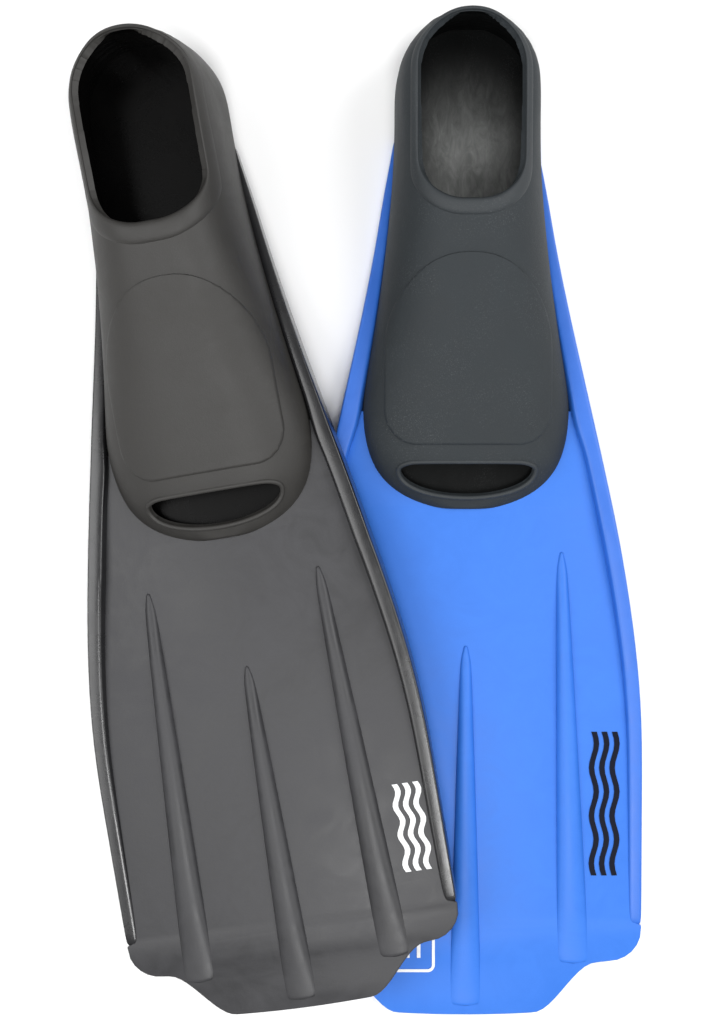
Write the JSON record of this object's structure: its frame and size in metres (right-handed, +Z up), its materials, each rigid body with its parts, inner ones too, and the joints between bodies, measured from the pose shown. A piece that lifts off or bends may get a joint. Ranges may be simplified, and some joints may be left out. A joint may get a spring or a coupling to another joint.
{
  "type": "swim fins",
  "caption": "Full-foot rubber swim fins with open-toe foot pockets and long flexible ribbed blades, lying fanned with the black fin leaning on the blue one.",
  "frame": {"origin": "on the floor under the middle of the blue fin's round heel", "axes": "+Z up from the floor the fins lie on, +Y from the blue fin's tip to its heel, +X to the right of the blue fin"},
  "size_m": [0.3135, 0.55, 0.08],
  "materials": {
    "blue_rubber": "satin",
    "charcoal_rubber": "matte",
    "insole_lining": "satin",
    "black_rubber": "matte",
    "black_gloss_rubber": "gloss",
    "dark_ink": "matte",
    "white_ink": "matte"
  },
  "bodies": {
    "blue_blade": {"blue_blade_panel": "blue_rubber", "blue_left_rail": "blue_rubber", "blue_right_rail": "blue_rubber", "blue_left_rib": "blue_rubber", "blue_centre_rib": "blue_rubber", "blue_right_rib": "blue_rubber", "blue_wave_mark": "dark_ink", "blue_care_label": "white_ink"},
    "blue_foot": {"blue_sole": "charcoal_rubber", "blue_insole": "insole_lining", "blue_heel_cup": "charcoal_rubber", "blue_upper": "charcoal_rubber", "blue_toe_cap": "charcoal_rubber", "blue_collar": "charcoal_rubber", "blue_instep_panel": "charcoal_rubber", "blue_left_rear_rail": "blue_rubber", "blue_right_rear_rail": "blue_rubber", "blue_blade_root": "blue_rubber"},
    "black_blade": {"black_blade_panel": "black_rubber", "black_left_rail": "black_gloss_rubber", "black_right_rail": "black_gloss_rubber", "black_left_rib": "black_rubber", "black_centre_rib": "black_rubber", "black_right_rib": "black_rubber", "black_wave_mark": "white_ink"},
    "black_foot": {"black_sole": "black_rubber", "black_insole": "black_gloss_rubber", "black_heel_cup": "black_rubber", "black_upper": "black_rubber", "black_toe_cap": "black_rubber", "black_collar": "black_rubber", "black_instep_panel": "black_rubber", "black_left_rear_rail": "black_gloss_rubber", "black_right_rear_rail": "black_gloss_rubber", "black_blade_root": "black_rubber"}
  },
  "joints": [
    {"name": "blue_flex", "type": "hinge", "parent": "blue_blade", "child": "blue_foot", "pos_m": [0, -0.2405, 0.0163], "axis": [1, 0, 0], "range_deg": [0, 35], "stiffness_Nm_per_rad": 6},
    {"name": "black_lean", "type": "hinge", "parent": "blue_blade", "child": "black_blade", "pos_m": [-0.20858, -0.0175, -0.00001], "axis": [0.0013, -1, -0.0002], "range_deg": [0, 18]},
    {"name": "black_flex", "type": "hinge", "parent": "black_blade", "child": "black_foot", "pos_m": [-0.13131, -0.25661, 0.02673], "axis": [0.9777, 0.1636, 0.1314], "range_deg": [0, 35], "stiffness_Nm_per_rad": 6}
  ],
  "couplings": [
    {"joint": "black_lean", "follows": "blue_flex", "ratio": 0.5}
  ]
}
